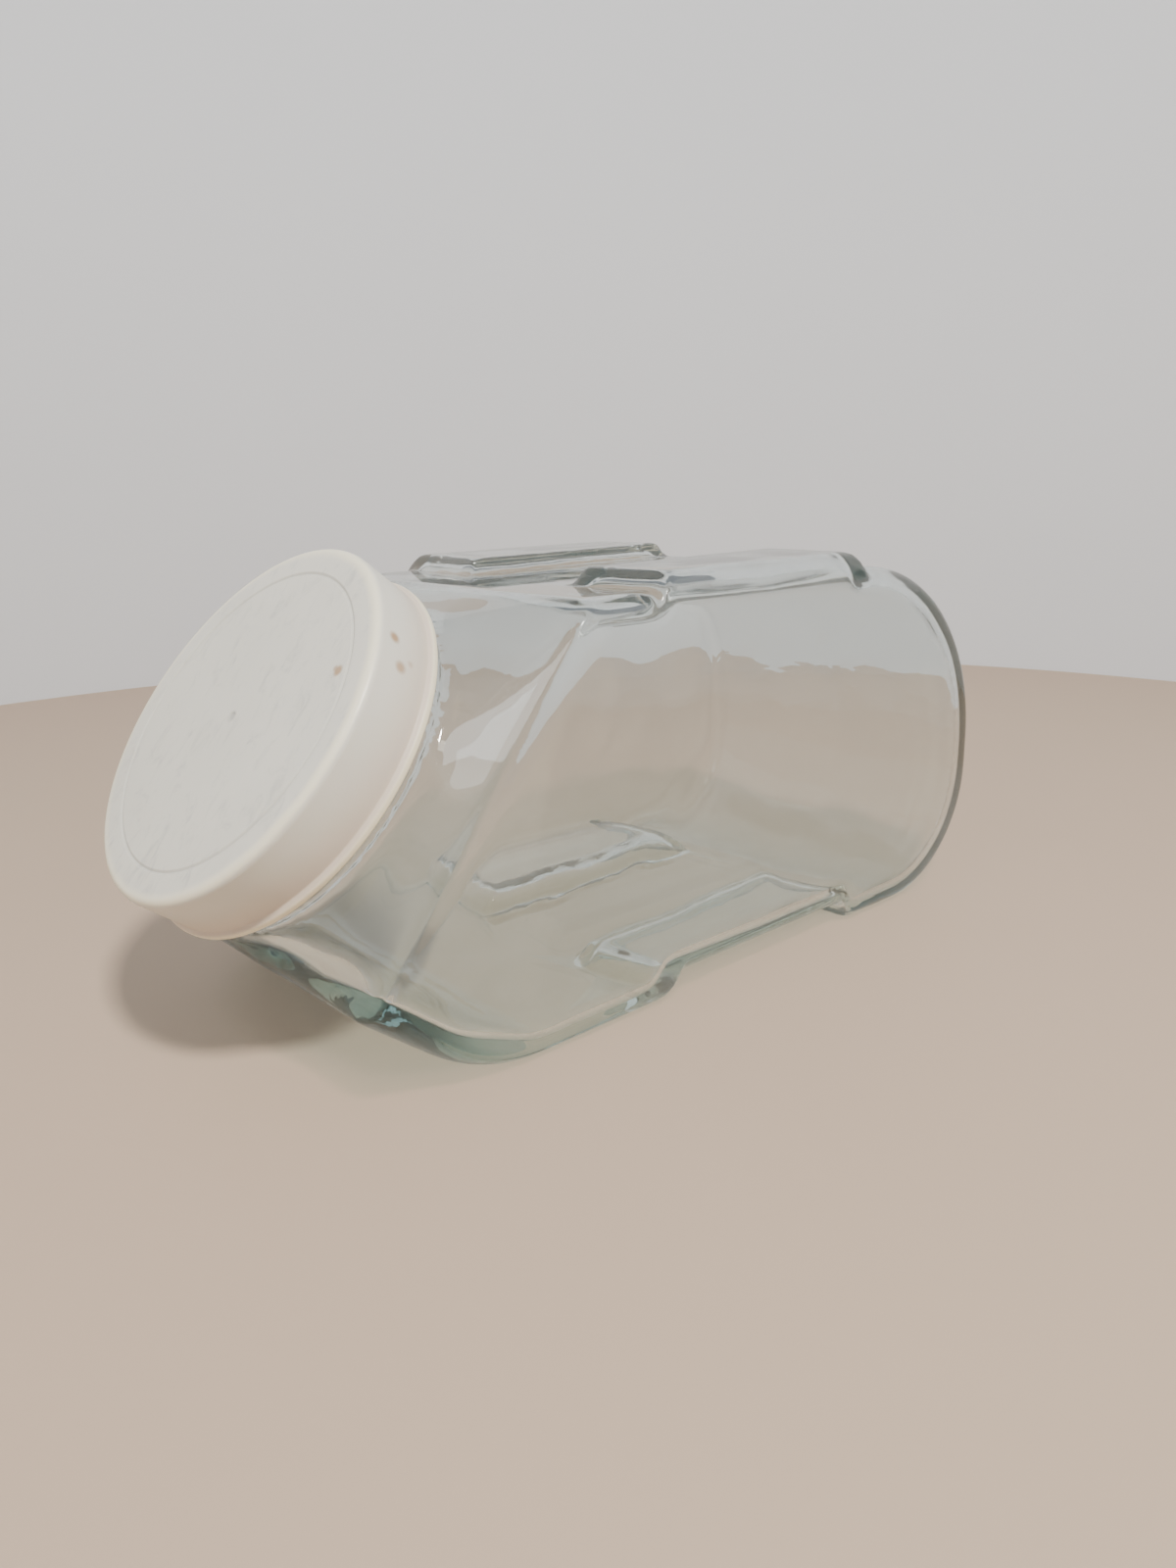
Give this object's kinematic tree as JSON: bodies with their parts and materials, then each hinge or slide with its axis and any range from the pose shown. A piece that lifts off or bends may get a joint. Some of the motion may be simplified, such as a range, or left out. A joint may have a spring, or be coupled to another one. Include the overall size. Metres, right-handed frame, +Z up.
{
  "type": "lidded glass canister",
  "caption": "Lying clear glass storage jar with flat sides, rounded back, tilted round mouth, screw-on plastic lid with sealing liner, and stacking pads over base recesses.",
  "frame": {"origin": "middle of the bounding box in X and Y, on the plane the flat base stands on (Z = 0)", "axes": "+Z up; +X along the jar from the mouth towards the rounded back end; +Y across the jar. The mouth faces -X and upwards at 38.5 degrees."},
  "size_m": [0.3054, 0.1376, 0.1398],
  "materials": {
    "clear_glass": "clear moulded soda-lime glass, faint green-grey tint, fire-polished",
    "lid_plastic": "aged ivory moulded polypropylene, satin, lightly scuffed",
    "liner_foam": "matt off-white closed-cell foam sheet"
  },
  "bodies": {
    "jar": {"glass_body": "clear_glass"},
    "liner": {"lid_liner": "liner_foam"},
    "lid": {"lid": "lid_plastic"}
  },
  "joints": [
    {"name": "liner_lift", "type": "slide", "parent": "jar", "child": "liner", "axis": [-0.7826, 0, 0.6225], "range_m": [0, 0.0241]},
    {"name": "lid_turn", "type": "hinge", "parent": "liner", "child": "lid", "pos_m": [-0.1189, 0, 0.097], "axis": [-0.7826, 0, 0.6225], "range_deg": [0, 1440]}
  ],
  "couplings": [
    {"joint": "liner_lift", "follows": "lid_turn", "m_per_rad": 0.00095493}
  ]
}
